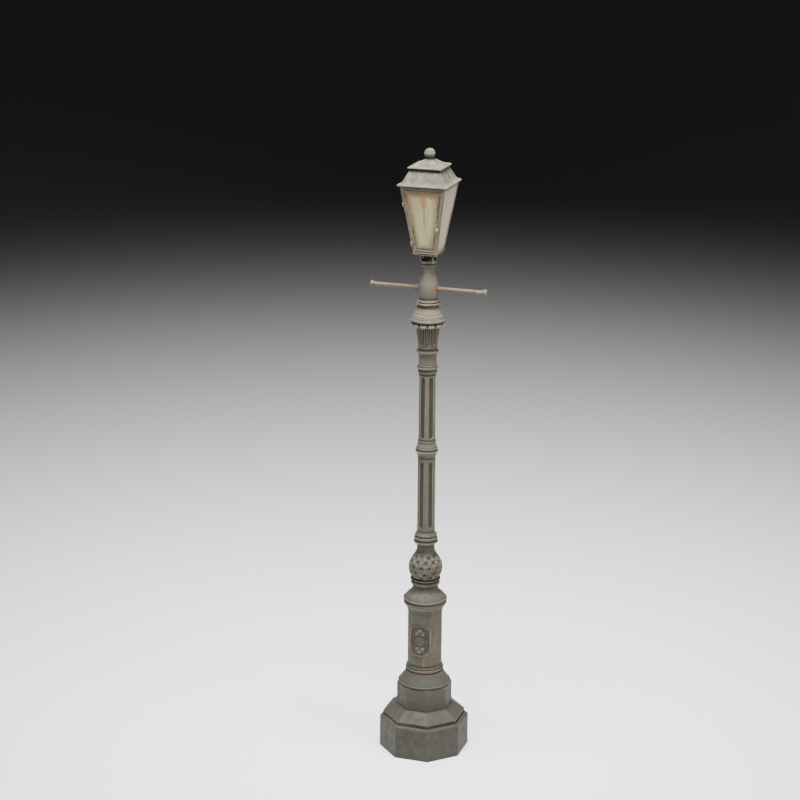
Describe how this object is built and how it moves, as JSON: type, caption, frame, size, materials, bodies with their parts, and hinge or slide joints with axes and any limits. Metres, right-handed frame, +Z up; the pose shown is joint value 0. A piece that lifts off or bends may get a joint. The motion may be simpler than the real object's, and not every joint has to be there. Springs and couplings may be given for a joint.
{
  "type": "street lamp post",
  "caption": "Ornate cast street lamp post on an octagonal plinth, with sunk-panel shaft, ladder bar, tapered four-sided lantern with hinged door, and a service door in the pedestal.",
  "frame": {"origin": "centre of the underside, on the ground", "axes": "+Z up the post, -Y towards the front (plaque and lantern door), +X to the right along the ladder bar"},
  "size_m": [0.806, 0.571, 4.22],
  "materials": {
    "post_paint": "weathered grey-green paint over cast iron, worn pale on edges, grime in grooves, some rust runs",
    "lantern_paint": "dusty warm grey paint",
    "dusty_glass": "frosted by dust, with rust streaks",
    "clear_glass": "clear",
    "galvanised_steel": "galvanised",
    "brass": "dull",
    "white_enamel": "stove enamel",
    "black_plastic": "moulded, matt",
    "white_ceramic": "glazed",
    "board": "varnished board"
  },
  "bodies": {
    "post": {"plinth": "post_paint", "plinth_block": "post_paint", "base_moulding": "post_paint", "pedestal": "post_paint", "plaque": "post_paint", "pedestal_ring": "post_paint", "bulb": "post_paint", "bulb_collar": "post_paint", "lower_shaft": "post_paint", "mid_collar": "post_paint", "upper_shaft": "post_paint", "shaft_crown": "post_paint", "capital_bell": "post_paint", "capital_cornice": "post_paint", "neck_ring": "post_paint", "neck_vase": "post_paint", "ladder_arm_left": "post_paint", "ladder_arm_right": "post_paint", "frog": "post_paint", "service_hinge_lower": "post_paint", "service_hinge_upper": "post_paint", "base_flange": "galvanised_steel", "anchor_bolt_1": "galvanised_steel", "anchor_bolt_2": "galvanised_steel", "anchor_bolt_3": "galvanised_steel", "anchor_bolt_4": "galvanised_steel", "base_tube": "galvanised_steel", "reducer_ring": "galvanised_steel", "core_tube": "galvanised_steel", "lantern_tray": "lantern_paint", "lantern_nipple": "brass", "lantern_post_front_left": "lantern_paint", "lantern_post_front_right": "lantern_paint", "lantern_post_back_left": "lantern_paint", "lantern_post_back_right": "lantern_paint", "head_frame": "lantern_paint", "pane_left": "dusty_glass", "pane_right": "dusty_glass", "pane_back": "dusty_glass", "lantern_hinge_lower": "lantern_paint", "lantern_hinge_upper": "lantern_paint", "lantern_hinge_pin_lower": "brass", "lantern_hinge_pin_upper": "brass", "roof": "lantern_paint", "chimney_cap": "lantern_paint", "finial": "lantern_paint", "reflector": "white_enamel", "lampholder": "black_plastic", "lamp_cap": "brass", "lamp_envelope": "clear_glass", "supply_cable": "black_plastic", "backboard": "board", "cutout": "black_plastic"},
    "lantern_door": {"lantern_door_frame": "lantern_paint", "lantern_door_pane": "dusty_glass"},
    "latch": {"lantern_latch": "brass"},
    "access_door": {"service_door": "post_paint"},
    "lock": {"service_lock": "brass"},
    "carrier": {"fuse_carrier": "white_ceramic"}
  },
  "joints": [
    {"name": "lantern_door_swing", "type": "hinge", "parent": "post", "child": "lantern_door", "pos_m": [-0.079, -0.08244, 3.52327], "axis": [0.1609, 0.1609, -0.9738], "range_deg": [0, 110]},
    {"name": "lantern_latch_turn", "type": "hinge", "parent": "lantern_door", "child": "latch", "pos_m": [0.0894, -0.1084, 3.708], "axis": [0, -0.9866, -0.163], "range_deg": [0, 90]},
    {"name": "service_door_swing", "type": "hinge", "parent": "post", "child": "access_door", "pos_m": [0.06757, 0.10813, 0.82], "axis": [0, 0, -1], "range_deg": [0, 115]},
    {"name": "service_lock_turn", "type": "hinge", "parent": "access_door", "child": "lock", "pos_m": [-0.04036, 0.11088, 0.82], "axis": [-0.342, 0.9397, 0], "range_deg": [0, 90]},
    {"name": "fuse_carrier_pull", "type": "slide", "parent": "post", "child": "carrier", "axis": [0, 1, 0], "range_m": [0, 0.025]}
  ]
}
